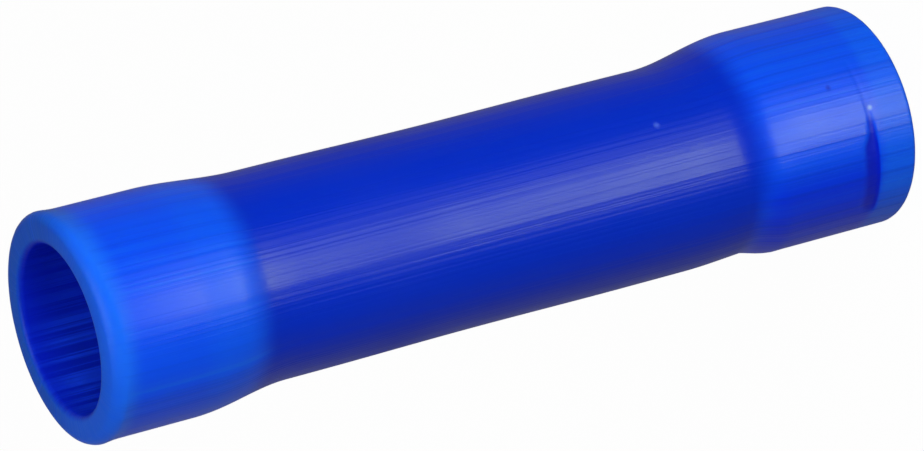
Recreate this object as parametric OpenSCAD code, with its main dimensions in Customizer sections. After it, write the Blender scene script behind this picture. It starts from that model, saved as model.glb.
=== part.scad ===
// Insulated butt splice connector: a plated crimp barrel held in a flared plastic sleeve.
// It stands on its lower rim, with the axis of both pieces on +Z. Sizes are in millimetres.

/* [Insulating sleeve] */
// Length of the sleeve, rim to rim
sleeve_len = 26; // [24:0.5:34]
// Thickness of the sleeve's wall
sleeve_wall = 0.85; // [0.7:0.05:1.2]
// Bore of each flared mouth, which takes the insulation of a wire
mouth_bore = 4.8; // [4.6:0.1:5.6]
// Straight length of each mouth
mouth_len = 3.4; // [2.5:0.1:4]
// Length over which a mouth narrows to the waist
flare_len = 3.2; // [2:0.1:3.8]
// Radius on the outer edge of each rim
rim_outer_r = 0.35; // [0.1:0.05:0.4]
// Radius on the inner edge of each rim
rim_inner_r = 0.2; // [0.05:0.05:0.25]

/* [Flaring crease] */
// Height of the crease above the lower rim
crease_height = 1.4; // [1:0.05:2]
// Width of the crease along the sleeve
crease_width = 0.3; // [0.2:0.05:0.5]
// Depth of the crease
crease_depth = 0.07; // [0.04:0.01:0.12]
// Direction of the middle of the crease, in degrees from +X
crease_middle = -106; // [-180:1:180]
// Angle that the crease covers, in degrees
crease_span = 90; // [40:1:180]

/* [Crimp barrel] */
// Length of the barrel
barrel_len = 16; // [13:0.5:18]
// Outside diameter of the barrel
barrel_od = 4.2; // [3.8:0.1:4.4]
// Bore of the barrel, which takes the bare strands of a wire
barrel_bore = 2.4; // [2:0.1:2.8]
// Depth of the lead-in chamfer at each end of the bore
barrel_lead_in = 0.3; // [0.1:0.05:0.4]
// Radius on the outer edge at each end of the barrel
barrel_edge_r = 0.15; // [0.05:0.05:0.2]
// Radial room between the barrel and the waist of the sleeve
barrel_room = 0.02; // [0.01:0.01:0.05]

/* [Gripping grooves] */
// Grooves in the bore at each end of the barrel
groove_count = 3; // [1:1:4]
// Spacing of the grooves along the bore
groove_pitch = 1.2; // [0.8:0.1:1.4]
// Width of one groove
groove_width = 0.4; // [0.2:0.05:0.6]
// Depth of one groove
groove_depth = 0.12; // [0.05:0.01:0.2]
// Distance from the end of the barrel to the middle of the first groove
groove_start = 1.3; // [1:0.1:1.6]

/* [Wire stop] */
// Opening left at the stop, in the middle of the bore
stop_bore = 1.4; // [1:0.1:1.8]
// Radius of the wheel edge that rolls the stop into the barrel
stop_wheel_r = 0.7; // [0.5:0.05:0.9]
// Thickness of the metal between the rolled groove and the opening
stop_web = 0.7; // [0.5:0.05:0.8]

/* [Hidden] */
$fn = 96;

sleeve_blue = "#1746d8";
tin_silver = "#c9cbcc";

// Steps along a rounded rim edge and along the curve of a flare
rim_steps = 6;
flare_steps = 14;

barrel_r = barrel_od / 2;
bore_r = barrel_bore / 2;
mouth_r = mouth_bore / 2;
mouth_outer_r = mouth_r + sleeve_wall;
waist_r = barrel_r + barrel_room;
waist_outer_r = waist_r + sleeve_wall;

middle = sleeve_len / 2;
barrel_bottom = middle - barrel_len / 2;

stop_bead_r = stop_wheel_r + stop_web;
stop_ring_r = stop_bore / 2 + stop_bead_r;

// Share of the way through a smooth S-shaped change, for t from 0 to 1
function s_curve(t) = t * t * (3 - 2 * t);

// Points on an arc about a centre, between two angles
function arc(centre, r, from, to, steps) =
    [for (i = [0:steps]) centre + r * [cos(from + (to - from) * i / steps), sin(from + (to - from) * i / steps)]];

// Points down a flare, from the narrow waist to the wide mouth
function flare(wide_r, narrow_r) =
    [for (i = [0:flare_steps]) let (t = 1 - i / flare_steps)
        [wide_r + (narrow_r - wide_r) * s_curve(t), mouth_len + flare_len * t]];

// The lower half of the sleeve's section, from the waist's bore round the rim to the waist's outside
function lower_half() = concat(
    flare(mouth_r, waist_r),
    arc([mouth_r + rim_inner_r, rim_inner_r], rim_inner_r, 180, 270, rim_steps),
    arc([mouth_outer_r - rim_outer_r, rim_outer_r], rim_outer_r, 270, 360, rim_steps),
    reversed(flare(mouth_outer_r, waist_outer_r)));

function reversed(points) = [for (i = [len(points) - 1:-1:0]) points[i]];

// The same section seen from the other end of the sleeve
function upper_half() = [for (p = reversed(lower_half())) [p[0], sleeve_len - p[1]]];

// Shallow notch left by the flaring tool, on the side of the lower mouth
module crease() {
    rotate([0, 0, crease_middle - crease_span / 2])
        rotate_extrude(angle = crease_span)
            translate([mouth_outer_r, crease_height])
                polygon([
                    [-crease_depth, 0],
                    [crease_depth, -crease_width],
                    [crease_depth, crease_width]
                ]);
}

module insulating_sleeve() {
    color(sleeve_blue)
        difference() {
            rotate_extrude() polygon(concat(lower_half(), upper_half()));
            crease();
        }
}

// One V-shaped groove of the bore, about a height above the bottom of the barrel
function groove(height) = [
    [bore_r, height - groove_width / 2],
    [bore_r + groove_depth, height],
    [bore_r, height + groove_width / 2]
];

// The bore's side of the lower half of the barrel, from the end inwards
function bore_line() = concat(
    [[bore_r + barrel_lead_in, 0], [bore_r, barrel_lead_in]],
    [for (i = [0:groove_count - 1]) each groove(groove_start + groove_pitch * i)]);

function barrel_half() = concat(
    reversed(bore_line()),
    arc([barrel_r - barrel_edge_r, barrel_edge_r], barrel_edge_r, 270, 360, rim_steps));

function barrel_other_half() = [for (p = reversed(barrel_half())) [p[0], barrel_len - p[1]]];

module barrel_tube() {
    rotate_extrude() polygon(concat(barrel_half(), barrel_other_half()));
}

// A ring of round section about the middle of the barrel
module middle_ring(section_r) {
    translate([0, 0, barrel_len / 2])
        rotate_extrude()
            translate([stop_ring_r, 0])
                circle(r = section_r);
}

// Metal that the wheel presses into the bore, kept within the wall of the tube
module stop_bead() {
    intersection() {
        cylinder(r = (bore_r + barrel_r) / 2, h = barrel_len);
        middle_ring(stop_bead_r);
    }
}

module crimp_barrel() {
    color(tin_silver)
        translate([0, 0, barrel_bottom])
            difference() {
                union() {
                    barrel_tube();
                    stop_bead();
                }
                middle_ring(stop_wheel_r);
            }
}

insulating_sleeve();
crimp_barrel();
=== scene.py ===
# Looks of an insulated butt splice connector: a flared blue sleeve around a tinned crimp barrel.
import bpy
import math
from mathutils import Matrix, Vector, noise


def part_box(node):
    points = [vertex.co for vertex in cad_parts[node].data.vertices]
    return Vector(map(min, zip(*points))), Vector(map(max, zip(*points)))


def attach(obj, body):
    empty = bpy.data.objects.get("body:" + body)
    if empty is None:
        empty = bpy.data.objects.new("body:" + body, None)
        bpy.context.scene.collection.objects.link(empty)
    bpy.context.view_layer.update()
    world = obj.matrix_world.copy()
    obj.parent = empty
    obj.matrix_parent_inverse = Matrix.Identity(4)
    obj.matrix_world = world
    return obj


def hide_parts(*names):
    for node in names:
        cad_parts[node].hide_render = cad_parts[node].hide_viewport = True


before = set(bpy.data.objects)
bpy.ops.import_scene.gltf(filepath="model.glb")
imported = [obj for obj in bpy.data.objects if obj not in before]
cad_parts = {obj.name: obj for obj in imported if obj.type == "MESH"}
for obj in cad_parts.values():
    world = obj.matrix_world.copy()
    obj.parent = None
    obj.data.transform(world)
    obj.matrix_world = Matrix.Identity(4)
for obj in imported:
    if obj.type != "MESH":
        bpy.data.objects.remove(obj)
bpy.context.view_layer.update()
mm = 0.001
mergeReach = 0.0005 * mm                          # vertices closer than this become one


# Helpers for modelling

def clearSelection():
    if bpy.context.object and bpy.context.object.mode != "OBJECT":
        bpy.ops.object.mode_set(mode="OBJECT")
    bpy.ops.object.select_all(action="DESELECT")


def easeS(t):
    t = min(max(t, 0.0), 1.0)
    return t * t * (3 - 2 * t)


# Degrees between two directions, the short way round
def turnBetween(first, second):
    return abs((first - second + 180) % 360 - 180)


def stepsBetween(start, end, step):
    count = max(1, round(abs(end - start) / step))
    return [start + (end - start) * i / count for i in range(count + 1)]


def arcPoints(centreRadius, centreHeight, radius, fromAngle, toAngle, count):
    angles = [math.radians(fromAngle + (toAngle - fromAngle) * i / count) for i in range(count + 1)]
    return [(centreRadius + radius * math.cos(a), centreHeight + radius * math.sin(a)) for a in angles]


# Turns a closed outline of (radius, height) points about +Z, as on a lathe
def turnOnLathe(name, outline, segments):
    clearSelection()
    bpy.ops.mesh.primitive_plane_add(size=mm, location=(0, 0, 0))
    piece = bpy.context.object
    piece.name = piece.data.name = name
    bpy.ops.object.mode_set(mode="EDIT")
    bpy.ops.mesh.select_mode(type="VERT")
    bpy.ops.mesh.select_all(action="SELECT")
    bpy.ops.mesh.merge(type="CENTER")             # one vertex, drawn out along the outline
    here = Vector((outline[0][0], 0, outline[0][1]))
    bpy.ops.transform.translate(value=here)
    for radius, height in outline[1:] + outline[:1]:
        there = Vector((radius, 0, height))
        bpy.ops.mesh.extrude_region_move(TRANSFORM_OT_translate={"value": there - here})
        here = there
    bpy.ops.mesh.select_all(action="SELECT")
    bpy.ops.mesh.spin(steps=segments, angle=2 * math.pi, center=(0, 0, 0), axis=(0, 0, 1))
    bpy.ops.mesh.select_all(action="SELECT")
    bpy.ops.mesh.remove_doubles(threshold=mergeReach)
    bpy.ops.mesh.normals_make_consistent(inside=False)
    bpy.ops.object.mode_set(mode="OBJECT")
    bpy.ops.object.shade_smooth()
    return piece


# Camera

cameraSetup = {
    "lens": 216.08,                               # on a 36 mm sensor
    "target": Vector((-0.088, 0, 13.323)) * mm,   # close to the middle of the sleeve
    "distance": 156.0 * mm,
    "elevation": 26.2,                            # degrees above the horizon
    "roll": -104.67,                              # degrees, so that the standing part lies down
    "clipStart": 1.0 * mm,
    "clipEnd": 10.0,
}


def makeCamera():
    tilt = math.radians(cameraSetup["elevation"])
    back = Vector((0, -math.cos(tilt), math.sin(tilt)))
    clearSelection()
    bpy.ops.object.camera_add()
    camera = bpy.context.object
    camera.name = "camera"
    camera.data.lens = cameraSetup["lens"]
    camera.data.clip_start = cameraSetup["clipStart"]
    camera.data.clip_end = cameraSetup["clipEnd"]
    place = Matrix.Translation(cameraSetup["target"] + back * cameraSetup["distance"])
    aim = Matrix.Rotation(math.pi / 2 - tilt, 4, "X")
    roll = Matrix.Rotation(math.radians(cameraSetup["roll"]), 4, "Z")
    camera.matrix_world = place @ aim @ roll
    bpy.context.scene.camera = camera


makeCamera()
print("camera placed")


# Insulating sleeve

sleeveLow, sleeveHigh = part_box("insulating_sleeve")
barrelLow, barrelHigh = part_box("crimp_barrel")
barrelRoom = 0.02 * mm                            # between the barrel and the sleeve's waist
sleeveMake = {
    "length": sleeveHigh.z - sleeveLow.z,
    "mouthOuter": sleeveHigh.x,
    "waistInner": barrelHigh.x + barrelRoom,
    "wall": 0.85 * mm,
    "rimInner": 0.2 * mm,
    "rimSteps": 8,
    "heightStep": 0.15 * mm,
    "boreStep": 0.45 * mm,
    "creaseStep": 0.05 * mm,
    "segments": 300,
    "lipReach": 0.8 * mm,                         # how far down from a rim its lip and its fall are felt
    "stepCurve": 1.5,                             # how late a step moves along, on the way to -X
    "pinch": {"height": 14.0 * mm, "reach": 5.0 * mm, "depth": 0.03 * mm},    # slight dip of the waist
}
# The two ends differ a little, as the moulding left them. Angles are in degrees from -Y towards +X.
sleeveEnds = {
    "lower": {
        "side": -1,                               # the way out along Z
        "mouth": 3.46 * mm,
        "flare": 3.46 * mm,
        "rim": 0.15 * mm,
        "lean": 0.165 * mm,                       # towards +X
        "tilt": 0.024,                            # slope of the rim along X
        "crown": 0.0,
        "lip": 0.0,
        "slope": {"drop": 0.0, "middle": 0.0, "reach": 90.0},
        "step": {"length": 1.2 * mm, "share": 1.0, "middle": -72.0, "reach": 165.0, "drop": 0.75 * mm},
    },
    "upper": {
        "side": 1,
        "mouth": 3.15 * mm,
        "flare": 3.05 * mm,
        "rim": 0.33 * mm,
        "lean": -0.072 * mm,
        "tilt": 0.019,
        "crown": 0.05 * mm,                       # the front of the mouth bulges by this much
        "lip": 0.06 * mm,                         # the rest of it turns out at the rim
        "slope": {"drop": 0.25 * mm, "middle": -25.0, "reach": 95.0},    # the rim's face falls outwards
        "step": {"length": 1.2 * mm, "share": 0.5, "middle": 0.0, "reach": 90.0, "drop": 0.0},
    },
}
creaseMake = {
    "height": 1.34 * mm,
    "slant": 0.003 * mm,                          # rise per degree towards +X
    "middle": -30.0,
    "depth": 0.06 * mm,
    "rimSide": 0.14 * mm,                         # its reach towards the rim
    "widest": 0.62 * mm,                          # and towards the waist, where it is widest
    "fineReach": 0.93 * mm,                       # the mesh is fine as far above it as this
    # direction, share of the full depth, share of the widest reach towards the waist
    "stations": [(-64, 0.0, 0.6), (-54, 0.9, 1.0), (-20, 1.0, 0.95), (-10, 0.6, 0.4),
                 (-1, 0.22, 0.22), (8, 0.15, 0.18), (24, 0.1, 0.16), (30, 0.0, 0.16)],
}
drawLines = {
    "across": 11.0,                               # lines in a radius of arc
    "along": 0.06 / mm,
    "waistDepth": 0.003 * mm,
    "mouthDepth": 0.004 * mm,
    "boreAcross": 9.8,
    "boreDepth": 0.03 * mm,
    "boreFade": 1.2 * mm,                         # over which the lines of the bore begin at a rim
    "finer": 2.3,                                 # a second set of lines, this much finer
    "finerShare": 0.5,
}


# The end that a height belongs to, and the distance from its rim
def endAt(height):
    if height > sleeveMake["length"] / 2:
        return sleeveEnds["upper"], sleeveMake["length"] - height
    return sleeveEnds["lower"], height


# 1 in a mouth and 0 at the waist
def mouthShare(height):
    end, fromRim = endAt(height)
    return 1 - easeS((fromRim - end["mouth"]) / end["flare"])


# On one side the outer wall steps over the end of the barrel more sharply
def steppedShare(height, angle):
    end, fromRim = endAt(height)
    step = end["step"]
    blend = step["share"] * easeS(1 - turnBetween(angle, step["middle"]) / step["reach"])
    drop = step["drop"] * max(0, -math.sin(math.radians(angle))) ** sleeveMake["stepCurve"]
    middle = end["mouth"] + end["flare"] / 2 - drop
    sharp = 1 - easeS((fromRim - middle) / step["length"] + 0.5)
    return mouthShare(height) * (1 - blend) + sharp * blend


def wallRadius(height, mouthRadius, waistRadius):
    return waistRadius + (mouthRadius - waistRadius) * mouthShare(height)


# Sideways shift of the sleeve's axis
def leanAt(height):
    return endAt(height)[0]["lean"] * mouthShare(height)


def sleeveOutline():
    make = sleeveMake
    length, steps = make["length"], make["rimSteps"]
    mouthOuter, waistInner, wall = make["mouthOuter"], make["waistInner"], make["wall"]
    mouthInner = mouthOuter - wall
    lowerEdge, upperEdge, boreEdge = sleeveEnds["lower"]["rim"], sleeveEnds["upper"]["rim"], make["rimInner"]
    creaseTop = creaseMake["height"] + creaseMake["fineReach"]
    outside = stepsBetween(lowerEdge, creaseTop, make["creaseStep"])
    outside += stepsBetween(creaseTop, length - upperEdge, make["heightStep"])[1:]
    inside = stepsBetween(length - boreEdge, boreEdge, make["boreStep"])[1:]
    outline = [(wallRadius(h, mouthOuter, waistInner + wall), h) for h in outside]
    outline += arcPoints(mouthOuter - upperEdge, length - upperEdge, upperEdge, 0, 90, steps)[1:]
    outline += arcPoints(mouthInner + boreEdge, length - boreEdge, boreEdge, 90, 180, steps)
    outline += [(wallRadius(h, mouthInner, waistInner), h) for h in inside]
    outline += arcPoints(mouthInner + boreEdge, boreEdge, boreEdge, 180, 270, steps)[1:]
    outline += arcPoints(mouthOuter - lowerEdge, lowerEdge, lowerEdge, 270, 360, steps)[:-1]
    return outline


# Depth of the crease at a place on the lower mouth, as a share of its full depth
def creaseShare(angle, height):
    make = creaseMake
    stations = make["stations"]
    above = height - make["height"] - make["slant"] * (angle - make["middle"])
    for (low, lowShare, lowReach), (high, highShare, highReach) in zip(stations, stations[1:]):
        if low <= angle < high:
            along = easeS((angle - low) / (high - low))
            share = lowShare + (highShare - lowShare) * along
            reach = make["widest"] * (lowReach + (highReach - lowReach) * along)
            return share * (1 - easeS(abs(above) / (reach if above > 0 else make["rimSide"])))
    return 0.0


# Height of the draw lines above the plain wall, outside or in the bore
def lineHeight(around, height, outside):
    fromRim = endAt(height)[1]
    share = mouthShare(height)
    if outside:
        depth = drawLines["waistDepth"] + (drawLines["mouthDepth"] - drawLines["waistDepth"]) * share
        across = drawLines["across"]
    else:
        depth = drawLines["boreDepth"] * share * easeS(fromRim / drawLines["boreFade"])
        across = drawLines["boreAcross"]
    spot = Vector((around.x * across, around.y * across, height * drawLines["along"]))
    return depth * (noise.noise(spot) + drawLines["finerShare"] * noise.noise(spot * drawLines["finer"]))


# Change of the outer wall's radius by its step, bulge, lip, dip and crease
def outerChange(angle, height, crease):
    make, pinch = sleeveMake, sleeveMake["pinch"]
    end, fromRim = endAt(height)
    swell = make["mouthOuter"] - make["waistInner"] - make["wall"]
    along = min(1, fromRim / end["mouth"])
    front = max(0, math.cos(math.radians(angle))) ** 2
    change = (steppedShare(height, angle) - mouthShare(height)) * swell
    change += end["crown"] * 4 * along * (1 - along) * front
    change += end["lip"] * (1 - easeS(fromRim / make["lipReach"])) * (1 - front)
    change -= pinch["depth"] * (1 - easeS(abs(height - pinch["height"]) / pinch["reach"]))
    return change - creaseMake["depth"] * crease


# Rise by the tilt of a rim, less the fall of its face on one side
def rimRise(angle, height, sideways, fromBore):
    make = sleeveMake
    end, fromRim = endAt(height)
    slope = end["slope"]
    drop = slope["drop"] * easeS(1 - turnBetween(angle, slope["middle"]) / slope["reach"])
    drop *= 1 - easeS(fromRim / make["lipReach"])
    rise = end["tilt"] * mouthShare(height) * (sideways - make["mouthOuter"] * end["side"])
    return rise - drop * max(0, fromBore / make["wall"]) ** 2


# Moves the turned sleeve's vertices to the moulded shape and marks its bore and its crease
def shapeSleeve(sleeve):
    make = sleeveMake
    mouthInner = make["mouthOuter"] - make["wall"]
    bore = sleeve.data.attributes.new("bore", "FLOAT", "POINT")
    crease = sleeve.data.attributes.new("crease", "FLOAT", "POINT")
    for vertex in sleeve.data.vertices:
        x, y, height = vertex.co
        radius = math.hypot(x, y)
        around = Vector((x / radius, y / radius, 0))
        angle = math.degrees(math.atan2(around.x, -around.y))
        fromBore = radius - wallRadius(height, mouthInner, make["waistInner"])
        outside = fromBore > make["wall"] / 2
        # mask for the painted shade in the bore
        bore.data[vertex.index].value = 1 - easeS(fromBore / make["rimInner"])
        radius += lineHeight(around, height, outside)
        if outside:
            share = creaseShare(angle, height)
            crease.data[vertex.index].value = share
            radius += outerChange(angle, height, share)
        rise = rimRise(angle, height, around.x * radius, fromBore)
        vertex.co = (around.x * radius + leanAt(height), around.y * radius, height + rise)
    sleeve.data.update()


sleeve = turnOnLathe("insulatingSleeve", sleeveOutline(), sleeveMake["segments"])
shapeSleeve(sleeve)
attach(sleeve, "root")
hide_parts("insulating_sleeve")
print("sleeve turned:", len(sleeve.data.vertices), "vertices")


# Crimp barrel

barrelMake = {
    "length": barrelHigh.z - barrelLow.z,
    "outer": barrelHigh.x,
    "bore": 1.2 * mm,
    "leadIn": 0.3 * mm,
    "edge": 0.15 * mm,
    "edgeSteps": 6,
    "grooves": 3,
    "grooveStart": 1.3 * mm,
    "groovePitch": 1.2 * mm,
    "grooveWidth": 0.4 * mm,
    "grooveDepth": 0.12 * mm,
    "stopOpening": 0.7 * mm,                      # radius left open at the stop
    "stopWheel": 0.7 * mm,
    "stopWeb": 0.7 * mm,
    "stopSteps": 20,
    "segments": 128,
    "smoothAngle": 35.0,                          # sharper edges stay sharp
}


def barrelOutline():
    make = barrelMake
    bore, outer, middle = make["bore"], make["outer"], make["length"] / 2
    wheel, steps = make["stopWheel"], make["stopSteps"]
    beadRadius = wheel + make["stopWeb"]
    ringRadius = make["stopOpening"] + beadRadius
    wheelReach = math.degrees(math.acos((outer - ringRadius) / wheel))
    beadReach = math.degrees(math.acos((ringRadius - bore) / beadRadius))
    lower = [(bore + make["leadIn"], 0), (bore, make["leadIn"])]
    for i in range(make["grooves"]):
        height = make["grooveStart"] + make["groovePitch"] * i
        half = make["grooveWidth"] / 2
        lower += [(bore, height - half), (bore + make["grooveDepth"], height), (bore, height + half)]
    upper = [(r, make["length"] - h) for r, h in lower]
    edge = arcPoints(outer - make["edge"], make["edge"], make["edge"], 270, 360, make["edgeSteps"])
    upperEdge = [(r, make["length"] - h) for r, h in reversed(edge)]
    groove = arcPoints(ringRadius, middle, wheel, -wheelReach, wheelReach - 360, steps)
    bead = arcPoints(ringRadius, middle, beadRadius, 180 - beadReach, 180 + beadReach, steps)
    outline = edge + groove + upperEdge + upper + bead + lower[::-1]
    return [(r, barrelLow.z + h) for r, h in outline]


barrel = turnOnLathe("crimpBarrel", barrelOutline(), barrelMake["segments"])
bpy.ops.object.shade_smooth_by_angle(angle=math.radians(barrelMake["smoothAngle"]))
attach(barrel, "root")
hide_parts("crimp_barrel")
print("barrel turned:", len(barrel.data.vertices), "vertices")


# Helpers for shader nodes

def addNode(tree, kind, settings=None, values=None):
    node = tree.nodes.new(kind)
    for name, value in (settings or {}).items():
        setattr(node, name, value)
    for name, value in (values or {}).items():
        node.inputs[name].default_value = value
    return node


def newGroup(name, inputs, outputs):
    group = bpy.data.node_groups.new(name, "ShaderNodeTree")
    for label, kind, value in inputs:
        socket = group.interface.new_socket(label, in_out="INPUT", socket_type=kind)
        if value is not None:
            socket.default_value = value
    for label, kind in outputs:
        group.interface.new_socket(label, in_out="OUTPUT", socket_type=kind)
    return group, group.nodes.new("NodeGroupInput"), group.nodes.new("NodeGroupOutput")


def placeGroup(tree, group, spot, values):
    node = addNode(tree, "ShaderNodeGroup", {"node_tree": group}, values)
    tree.links.new(spot, node.inputs["Vector"])
    return node.outputs["Mask"]


def newMaterial(name):
    material = bpy.data.materials.new(name)
    material.use_nodes = True
    tree = material.node_tree
    return material, tree, tree.nodes["Principled BSDF"]


def mapRange(tree, source, low, high, toLow, toHigh):
    node = addNode(tree, "ShaderNodeMapRange", {"interpolation_type": "SMOOTHSTEP"},
                   {"From Min": low, "From Max": high, "To Min": toLow, "To Max": toHigh})
    tree.links.new(source, node.inputs["Value"])
    return node.outputs["Result"]


def combine(tree, operation, first, second):
    node = addNode(tree, "ShaderNodeMath", {"operation": operation})
    for socket, value in zip(node.inputs, (first, second)):
        if isinstance(value, (int, float)):
            socket.default_value = value
        else:
            tree.links.new(value, socket)
    return node.outputs[0]


def addUp(tree, first, *others):
    for other in others:
        first = combine(tree, "ADD", first, other)
    return first


def multiply(tree, first, *others):
    for other in others:
        first = combine(tree, "MULTIPLY", first, other)
    return first


# How far a place lies along a direction
def alongWay(tree, spot, way):
    node = addNode(tree, "ShaderNodeVectorMath", {"operation": "DOT_PRODUCT"})
    node.inputs[1].default_value = way
    tree.links.new(spot, node.inputs[0])
    return node.outputs["Value"]


def mixColour(tree, share, first, second):
    node = addNode(tree, "ShaderNodeMix", {"data_type": "RGBA"})
    for socket, value in zip((node.inputs[0], node.inputs[6], node.inputs[7]), (share, first, second)):
        if isinstance(value, tuple):
            socket.default_value = (*value, 1)
        else:
            tree.links.new(value, socket)
    return node.outputs[2]


noiseLook = {"Detail": 3.0, "Roughness": 0.55}    # of the lines and of the patches


# Lines along the axis, the same at every radius, as a draw die leaves them
def makeDrawnLines():
    group, given, result = newGroup(
        "drawnLines",
        [("Vector", "NodeSocketVector", None), ("Lines", "NodeSocketFloat", 20.0),
         ("Along", "NodeSocketFloat", 40.0), ("Shift", "NodeSocketFloat", 0.0)],
        [("Mask", "NodeSocketFloat")])
    link = group.links.new
    flat = addNode(group, "ShaderNodeVectorMath", {"operation": "MULTIPLY"})
    flat.inputs[1].default_value = (1, 1, 0)
    unit = addNode(group, "ShaderNodeVectorMath", {"operation": "NORMALIZE"})
    spread = addNode(group, "ShaderNodeVectorMath", {"operation": "SCALE"})
    split = addNode(group, "ShaderNodeSeparateXYZ")
    rise = addNode(group, "ShaderNodeMath", {"operation": "MULTIPLY_ADD"})
    up = addNode(group, "ShaderNodeCombineXYZ")
    place = addNode(group, "ShaderNodeVectorMath", {"operation": "ADD"})
    lines = addNode(group, "ShaderNodeTexNoise", None, {"Scale": 1.0, **noiseLook})
    link(given.outputs["Vector"], flat.inputs[0])
    link(flat.outputs[0], unit.inputs[0])
    link(unit.outputs[0], spread.inputs[0])
    link(given.outputs["Lines"], spread.inputs["Scale"])
    link(given.outputs["Vector"], split.inputs[0])
    link(split.outputs["Z"], rise.inputs[0])
    link(given.outputs["Along"], rise.inputs[1])
    link(given.outputs["Shift"], rise.inputs[2])
    link(rise.outputs[0], up.inputs["Z"])
    link(spread.outputs[0], place.inputs[0])
    link(up.outputs[0], place.inputs[1])
    link(place.outputs[0], lines.inputs["Vector"])
    link(lines.outputs["Fac"], result.inputs["Mask"])
    return group


# Uneven patches, from fine grain to broad clouds by their scale
def makePatches():
    group, given, result = newGroup(
        "patches",
        [("Vector", "NodeSocketVector", None), ("Scale", "NodeSocketFloat", 1000.0)],
        [("Mask", "NodeSocketFloat")])
    cloud = addNode(group, "ShaderNodeTexNoise", None, noiseLook)
    group.links.new(given.outputs["Vector"], cloud.inputs["Vector"])
    group.links.new(given.outputs["Scale"], cloud.inputs["Scale"])
    group.links.new(cloud.outputs["Fac"], result.inputs["Mask"])
    return group


# A small round spot about one place
def makeSpeck():
    group, given, result = newGroup(
        "speck",
        [("Vector", "NodeSocketVector", None), ("Place", "NodeSocketVector", None),
         ("Reach", "NodeSocketFloat", 0.1 * mm)],
        [("Mask", "NodeSocketFloat")])
    away = addNode(group, "ShaderNodeVectorMath", {"operation": "DISTANCE"})
    fade = addNode(group, "ShaderNodeMapRange", {"interpolation_type": "SMOOTHSTEP"},
                   {"To Min": 1.0, "To Max": 0.0})
    group.links.new(given.outputs["Vector"], away.inputs[0])
    group.links.new(given.outputs["Place"], away.inputs[1])
    group.links.new(away.outputs["Value"], fade.inputs["Value"])
    group.links.new(given.outputs["Reach"], fade.inputs["From Max"])
    group.links.new(fade.outputs["Result"], result.inputs["Mask"])
    return group


drawnLines = makeDrawnLines()
patches = makePatches()
speck = makeSpeck()


# Blue sleeve plastic: clear blue at the mouths, darker where the barrel lies behind it

sleeveFinish = {
    "mouthBlue": (0.003, 0.078, 0.97),
    "waistBlue": (0.001, 0.025, 0.59),
    "lineBlue": (0.001, 0.026, 0.55),
    "paleBlue": (0.006, 0.14, 0.98),
    # painted shade for the -X side of the lower mouth
    "paintedShadeBlue": (0.001, 0.032, 0.85),
    # painted shade in the crease
    "paintedCreaseShade": (0.001, 0.012, 0.62),
    "barrelEdgeLow": (4.5 * mm, 5.5 * mm),        # where the barrel begins to show through
    "barrelEdgeHigh": (20.7 * mm, 21.7 * mm),
    "paintedShadeSide": (-0.7 * mm, -1.8 * mm),           # painted shade: the lower mouth is darker blue on its -X side
    "paintedShadeLow": (0.9 * mm, 1.6 * mm),
    "flareLightRing": (23.4 * mm, 22.3 * mm, 0.22),    # painted light: the upper mouth is paler towards its flare
    "lowerLip": (1.35 * mm, 1.0 * mm, 0.4),       # heights over which the lip turns paler, and how pale
    # the upper lip turns to painted light at its front and painted shade at its back
    "upperLip": (24.9 * mm, 25.6 * mm, 0.85),
    "paintedLitLip": (0.012, 0.155, 0.99),
    "paintedShadeLip": (0.005, 0.12, 0.7),
    "lipLightWay": (-0.5, -0.87, 0),                   # from the painted shade at the back of the upper lip to the painted light at its front
    "lipLightFade": (-1.2 * mm, 1.2 * mm),
    "fineLines": {"Lines": 36.0, "Along": 45.0},
    "broadLines": {"Lines": 11.0, "Along": 25.0, "Shift": 3.7},
    "fineShare": 0.4,
    "darkLine": (0.5, 0.62),                      # range of the lines' mask that draws dark lines
    "lineStrength": (0.27, 0.15, 0.16),           # on the lower mouth, the waist and the upper mouth
    "lineEnd": (25.4 * mm, 25.7 * mm),            # the lines stop at the upper rim
    "paleLine": (0.48, 0.34, 0.5),                # range of the mask for pale lines, and how pale
    "paleInPaintedShade": 0.2,                            # what is left of them in the painted shade on the lower mouth
    "creaseFull": 0.6,                            # share of the depth at which the painted shade in the crease is at its darkest
    # painted shade in the bore
    "paintedBoreShade": (0.002, 0.013, 0.6),
    "paintedRibLight": (0.01, 0.075, 1.0),
    "ribLine": (0.44, 0.57, 0.15, 1.0),           # range of the mask for the painted light on the bore's ribs, least and most
    "ribSide": (1.2 * mm, -1.0 * mm, 0.3, 1.0),   # the painted light on them is stronger on the -X side, whose inner wall faces the light
    "ribDepth": (25.8 * mm, 24.3 * mm, 0.3, 1.5),    # and deeper in the upper mouth
    "roughness": (0.3, 0.33),                     # at the waist and on the upper mouth
    "cloudScale": 700.0,
    "cloudRange": (0.3, 0.7, -0.02, 0.02),        # range of the clouds' mask, and what they add
    "dullStretch": (17.0 * mm, 2.8 * mm, 0.08),   # height, reach and roughness of a duller length
    "creaseRough": (0.8, 0.1),                    # share of the depth at which this much is added
    "lipRough": 0.06,
    "subsurface": 0.2,
    "scatter": (0.15, 0.3, 1.0),
    "scatterReach": 0.5 * mm,
    "bumpReach": 0.028 * mm,
    "upperBump": 0.9,                             # the lines are fainter on the upper mouth
}
# Single specks on the outside
specks = [
    {"height": 7.95 * mm, "angle": 25.0, "reach": 0.15 * mm, "colour": (0.05, 0.11, 0.75)},
    {"height": 1.42 * mm, "angle": 1.0, "reach": 0.12 * mm, "colour": (0.25, 0.38, 0.95)},
    {"height": 2.51 * mm, "angle": 16.0, "reach": 0.14 * mm, "colour": (0.001, 0.03, 0.66)},
]


# A place on the outside of the sleeve
def onSleeve(height, angle):
    turn = math.radians(angle)
    radius = wallRadius(height, sleeveMake["mouthOuter"], sleeveMake["waistInner"] + sleeveMake["wall"])
    return (radius * math.sin(turn) + leanAt(height), -radius * math.cos(turn), height)


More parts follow.
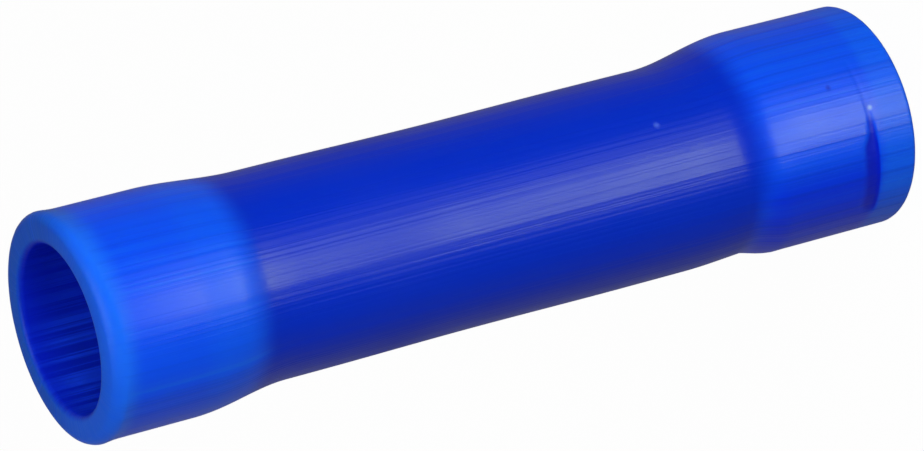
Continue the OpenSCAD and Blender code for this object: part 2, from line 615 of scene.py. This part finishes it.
# What the sleeve's colour, roughness and lines go by
def sleeveFields(tree):
    finish = sleeveFinish
    spot = addNode(tree, "ShaderNodeTexCoord").outputs["Object"]
    split = addNode(tree, "ShaderNodeSeparateXYZ")
    tree.links.new(spot, split.inputs[0])
    height = split.outputs["Z"]
    fine = placeGroup(tree, drawnLines, spot, finish["fineLines"])
    broad = placeGroup(tree, drawnLines, spot, finish["broadLines"])
    lines = addUp(tree, multiply(tree, fine, finish["fineShare"]),
                  multiply(tree, broad, 1 - finish["fineShare"]))
    atBottom = mapRange(tree, height, *finish["barrelEdgeLow"], 1, 0)
    # painted shade: darker blue on the -X side of the lower mouth, above its lip
    paintedShadeMask = multiply(tree, atBottom, mapRange(tree, split.outputs["X"], *finish["paintedShadeSide"], 0, 1),
                    mapRange(tree, height, *finish["paintedShadeLow"], 0, 1))
    return {
        "spot": spot,
        "x": split.outputs["X"],
        "height": height,
        "lines": lines,
        "cloud": placeGroup(tree, patches, spot, {"Scale": finish["cloudScale"]}),
        "atBottom": atBottom,
        "atTop": mapRange(tree, height, *finish["barrelEdgeHigh"], 0, 1),
        "paintedShadeMask": paintedShadeMask,
        "crease": addNode(tree, "ShaderNodeAttribute", {"attribute_name": "crease"}).outputs["Fac"],
        "bore": addNode(tree, "ShaderNodeAttribute", {"attribute_name": "bore"}).outputs["Fac"],
    }


# Plain colour of the outside, with its paler lips, painted shade on the -X side of the lower mouth, a band
# of painted light at the upper flare, and painted light and shade on the upper lip
def plainBlue(tree, field, atMouth):
    finish = sleeveFinish
    height = field["height"]
    blue = mixColour(tree, atMouth, finish["waistBlue"], finish["mouthBlue"])
    # painted shade on the -X side of the lower mouth
    blue = mixColour(tree, field["paintedShadeMask"], blue, finish["paintedShadeBlue"])
    lowStart, lowFull, lowShare = finish["lowerLip"]
    highStart, highFull, highShare = finish["upperLip"]
    ringStart, ringFull, ringShare = finish["flareLightRing"]
    # painted light: a band that turns paler towards the upper flare
    paintedLightRing = multiply(tree, mapRange(tree, height, ringStart, ringFull, 0, ringShare), field["atTop"])
    pale = addUp(tree, mapRange(tree, height, lowStart, lowFull, 0, lowShare), paintedLightRing)
    blue = mixColour(tree, pale, blue, finish["paleBlue"])
    # painted light on the front of the upper lip, painted shade on its back
    front = mapRange(tree, alongWay(tree, field["spot"], finish["lipLightWay"]), *finish["lipLightFade"], 0, 1)
    litAndShadedLip = mixColour(tree, front, finish["paintedShadeLip"], finish["paintedLitLip"])
    return mixColour(tree, mapRange(tree, height, highStart, highFull, 0, highShare), blue, litAndShadedLip)


# Dark and pale lines along the outside
def linedBlue(tree, field, atMouth, blue):
    finish = sleeveFinish
    lower, waist, upper = finish["lineStrength"]
    strength = addUp(tree, multiply(tree, field["atBottom"], lower - waist),
                     multiply(tree, field["atTop"], upper - waist), waist)
    dark = multiply(tree, mapRange(tree, field["lines"], *finish["darkLine"], 0, 1), strength,
                    mapRange(tree, field["height"], *finish["lineEnd"], 1, 0))
    blue = mixColour(tree, dark, blue, finish["lineBlue"])
    paleLow, paleHigh, paleShare = finish["paleLine"]
    pale = multiply(tree, mapRange(tree, field["lines"], paleLow, paleHigh, 0, paleShare), atMouth,
                    mapRange(tree, field["paintedShadeMask"], 0, 1, 1, finish["paleInPaintedShade"]))
    return mixColour(tree, pale, blue, finish["paleBlue"])


# Specks and the painted shade of the crease on the outside, and the bore in painted shade with painted light
# on its ribs
def markedBlue(tree, field, blue):
    finish = sleeveFinish
    for mark in specks:
        place = onSleeve(mark["height"], mark["angle"])
        mask = placeGroup(tree, speck, field["spot"], {"Place": place, "Reach": mark["reach"]})
        blue = mixColour(tree, mask, blue, mark["colour"])
    # painted shade in the crease
    creaseShadeShare = mapRange(tree, field["crease"], 0, finish["creaseFull"], 0, 1)
    blue = mixColour(tree, creaseShadeShare, blue, finish["paintedCreaseShade"])
    # painted shade in the bore, with painted light on its ribs
    ribShare = multiply(tree, mapRange(tree, field["lines"], *finish["ribLine"]),
                        mapRange(tree, field["x"], *finish["ribSide"]),
                        mapRange(tree, field["height"], *finish["ribDepth"]))
    ribs = mixColour(tree, ribShare, finish["paintedBoreShade"], finish["paintedRibLight"])
    return mixColour(tree, field["bore"], blue, ribs)


def sleeveRoughness(tree, field):
    finish = sleeveFinish
    waistRough, mouthRough = finish["roughness"]
    dullHeight, dullReach, dullRough = finish["dullStretch"]
    creaseFull, creaseRough = finish["creaseRough"]
    lowStart, lowFull = finish["lowerLip"][:2]
    fromDull = combine(tree, "ABSOLUTE", combine(tree, "SUBTRACT", field["height"], dullHeight), 0)
    return addUp(tree, mapRange(tree, field["atTop"], 0, 1, waistRough, mouthRough),
                 mapRange(tree, field["cloud"], *finish["cloudRange"]),
                 mapRange(tree, fromDull, 0, dullReach, dullRough, 0),
                 mapRange(tree, field["crease"], 0, creaseFull, 0, creaseRough),
                 mapRange(tree, field["height"], lowStart, lowFull, 0, finish["lipRough"]))


def makeSleevePlastic():
    finish = sleeveFinish
    material, tree, shader = newMaterial("sleevePlastic")
    link = tree.links.new
    field = sleeveFields(tree)
    atMouth = combine(tree, "MAXIMUM", field["atBottom"], field["atTop"])
    blue = plainBlue(tree, field, atMouth)
    blue = linedBlue(tree, field, atMouth, blue)
    link(markedBlue(tree, field, blue), shader.inputs["Base Color"])
    link(sleeveRoughness(tree, field), shader.inputs["Roughness"])
    bump = addNode(tree, "ShaderNodeBump", None, {"Strength": 1.0, "Distance": finish["bumpReach"]})
    fainter = mapRange(tree, field["atTop"], 0, 1, 1, finish["upperBump"])
    link(multiply(tree, field["lines"], fainter), bump.inputs["Height"])
    link(bump.outputs["Normal"], shader.inputs["Normal"])
    shader.inputs["Subsurface Weight"].default_value = finish["subsurface"]
    shader.inputs["Subsurface Radius"].default_value = finish["scatter"]
    shader.inputs["Subsurface Scale"].default_value = finish["scatterReach"]
    return material


# Tinned copper: drawn lines and a slightly uneven coat of tin

barrelFinish = {
    "bright": (0.76, 0.76, 0.75),
    "dull": (0.6, 0.6, 0.59),
    "cloudScale": 900.0,
    "dullRange": (0.35, 0.75),                    # range of the clouds' mask over which the tin turns dull
    "lines": {"Lines": 18.0, "Along": 90.0, "Shift": 1.3},
    "lineRough": (0.3, 0.7, 0.28, 0.42),          # range of the lines' mask, and the roughness over it
    "bumpStrength": 0.8,
    "bumpReach": 0.002 * mm,
}


def makeTinnedCopper():
    finish = barrelFinish
    material, tree, shader = newMaterial("tinnedCopper")
    link = tree.links.new
    spot = addNode(tree, "ShaderNodeTexCoord").outputs["Object"]
    lines = placeGroup(tree, drawnLines, spot, finish["lines"])
    cloud = placeGroup(tree, patches, spot, {"Scale": finish["cloudScale"]})
    dullShare = mapRange(tree, cloud, *finish["dullRange"], 0, 1)
    link(mixColour(tree, dullShare, finish["bright"], finish["dull"]), shader.inputs["Base Color"])
    link(mapRange(tree, lines, *finish["lineRough"]), shader.inputs["Roughness"])
    bump = addNode(tree, "ShaderNodeBump", None,
                   {"Strength": finish["bumpStrength"], "Distance": finish["bumpReach"]})
    link(lines, bump.inputs["Height"])
    link(bump.outputs["Normal"], shader.inputs["Normal"])
    shader.inputs["Metallic"].default_value = 1.0
    return material


sleeve.data.materials.clear()
sleeve.data.materials.append(makeSleevePlastic())
barrel.data.materials.clear()
barrel.data.materials.append(makeTinnedCopper())
print("materials made")


# Floor and studio light

stageSetup = {
    "floorSize": 4.0,
    "floorWhite": (0.9, 0.9, 0.9),
    "floorRoughness": 0.9,
    "whiteShare": 0.98,                           # of plain white in what the camera sees of the floor
    "roomGrey": (0.015, 0.015, 0.015),            # the dim room in front of the part
    "backdropGrey": (0.22, 0.215, 0.21),          # the paler backdrop behind it
    "backdropSide": (-0.15, 1, 0),                # towards the backdrop
    "backdropReach": (-0.5, 1.0),                 # where the room turns into it, along that direction
    "backdropTop": (-0.3, 0.4, 1.0, 0.35),        # it darkens upwards
}
plainLight = (1, 1, 1)
bandLight = (0.87, 1, 0.35)
# Places and sizes are in millimetres. Only a lamp with gloss is mirrored, and one without matt
# does nothing else.
softboxes = [
    # the key stands in front of the sleeve, on its +X side
    {"name": "keySoftbox", "place": (72, -180, 30), "size": (150, 110), "glow": 5.6,
     "tint": plainLight, "gloss": False, "matt": True},
    # lights the upper rim and the inside of its mouth
    {"name": "rimSoftbox", "place": (35, -100, 160), "size": (90, 90), "glow": 4.9,
     "tint": plainLight, "gloss": False, "matt": True},
    # mirrored in the barrel and along the upper rim
    {"name": "topSoftbox", "place": (0, -40, 260), "size": (160, 160), "glow": 0.8,
     "tint": plainLight, "gloss": True, "matt": False},
    {"name": "lowFill", "place": (-190, 20, 40), "size": (160, 120), "glow": 1.12,
     "tint": plainLight, "gloss": False, "matt": True},
    # close to the upper mouth, on its -X side
    {"name": "mouthFill", "place": (-30, -12, 45), "size": (20, 20), "glow": 1.2,
     "tint": plainLight, "gloss": False, "matt": True},
    {"name": "backFill", "place": (-60, 230, 60), "size": (220, 160), "glow": 1.2,
     "tint": plainLight, "gloss": False, "matt": True},
    # these draw the bright band along the sleeve, from under the floor, which casts no shadow
    {"name": "bandSoftbox", "place": (-7, -150, -60), "size": (94, 36), "glow": 3.2,
     "tint": bandLight, "gloss": True, "matt": True},
    {"name": "bandLow", "place": (-2, -140, -86), "size": (84, 22), "glow": 7.0,
     "tint": bandLight, "gloss": True, "matt": True},
    {"name": "bandTail", "place": (70, -135, -66), "size": (60, 50), "glow": 0.9,
     "tint": bandLight, "gloss": True, "matt": True},
]


def makeFloor():
    clearSelection()
    bpy.ops.mesh.primitive_plane_add(size=stageSetup["floorSize"], location=(0, 0, 0))
    floor = bpy.context.object
    floor.name = "floor"
    material, tree, shader = newMaterial("paleFloor")
    link = tree.links.new
    shader.inputs["Base Color"].default_value = (*stageSetup["floorWhite"], 1)
    shader.inputs["Roughness"].default_value = stageSetup["floorRoughness"]
    path = addNode(tree, "ShaderNodeLightPath")
    seen = combine(tree, "MAXIMUM", path.outputs["Is Camera Ray"], path.outputs["Is Glossy Ray"])
    seen = combine(tree, "MAXIMUM", seen, path.outputs["Is Transmission Ray"])
    white = addNode(tree, "ShaderNodeEmission", None, {"Color": (1, 1, 1, 1), "Strength": 1.0})
    mix = addNode(tree, "ShaderNodeMixShader")
    link(multiply(tree, seen, stageSetup["whiteShare"]), mix.inputs[0])
    link(shader.outputs[0], mix.inputs[1])
    link(white.outputs[0], mix.inputs[2])
    link(mix.outputs[0], tree.nodes["Material Output"].inputs["Surface"])
    floor.data.materials.append(material)
    floor.visible_shadow = False
    floor.visible_diffuse = False                 # the sleeve mirrors a dim room, not the floor
    floor.visible_glossy = False


def makeSoftbox(box):
    width, height = (side * mm for side in box["size"])
    place = Vector(box["place"]) * mm
    clearSelection()
    bpy.ops.object.light_add(type="AREA", location=place)
    lamp = bpy.context.object
    lamp.name = box["name"]
    lamp.data.shape = "RECTANGLE"
    lamp.data.size = width
    lamp.data.size_y = height
    lamp.data.color = box["tint"]
    lamp.data.energy = box["glow"] * math.pi * width * height
    aim = cameraSetup["target"] - place
    lamp.rotation_euler = aim.to_track_quat("-Z", "Y").to_euler()
    lamp.visible_camera = False
    lamp.visible_glossy = box["gloss"]
    lamp.visible_diffuse = box["matt"]
    lamp.data.cycles.use_multiple_importance_sampling = box["gloss"]    # or its mirror image leaks in


def makeWorld():
    world = bpy.data.worlds.new("studio")
    world.use_nodes = True
    tree = world.node_tree
    way = addNode(tree, "ShaderNodeTexCoord").outputs["Generated"]
    up = addNode(tree, "ShaderNodeSeparateXYZ")
    tree.links.new(way, up.inputs[0])
    towards = alongWay(tree, way, stageSetup["backdropSide"])
    behind = multiply(tree, mapRange(tree, towards, *stageSetup["backdropReach"], 0, 1),
                      mapRange(tree, up.outputs["Z"], *stageSetup["backdropTop"]))
    grey = mixColour(tree, behind, stageSetup["roomGrey"], stageSetup["backdropGrey"])
    tree.links.new(grey, tree.nodes["Background"].inputs["Color"])
    bpy.context.scene.world = world


makeFloor()
makeWorld()
for box in softboxes:
    makeSoftbox(box)
bpy.context.scene.view_settings.view_transform = "Standard"
print("stage lit")
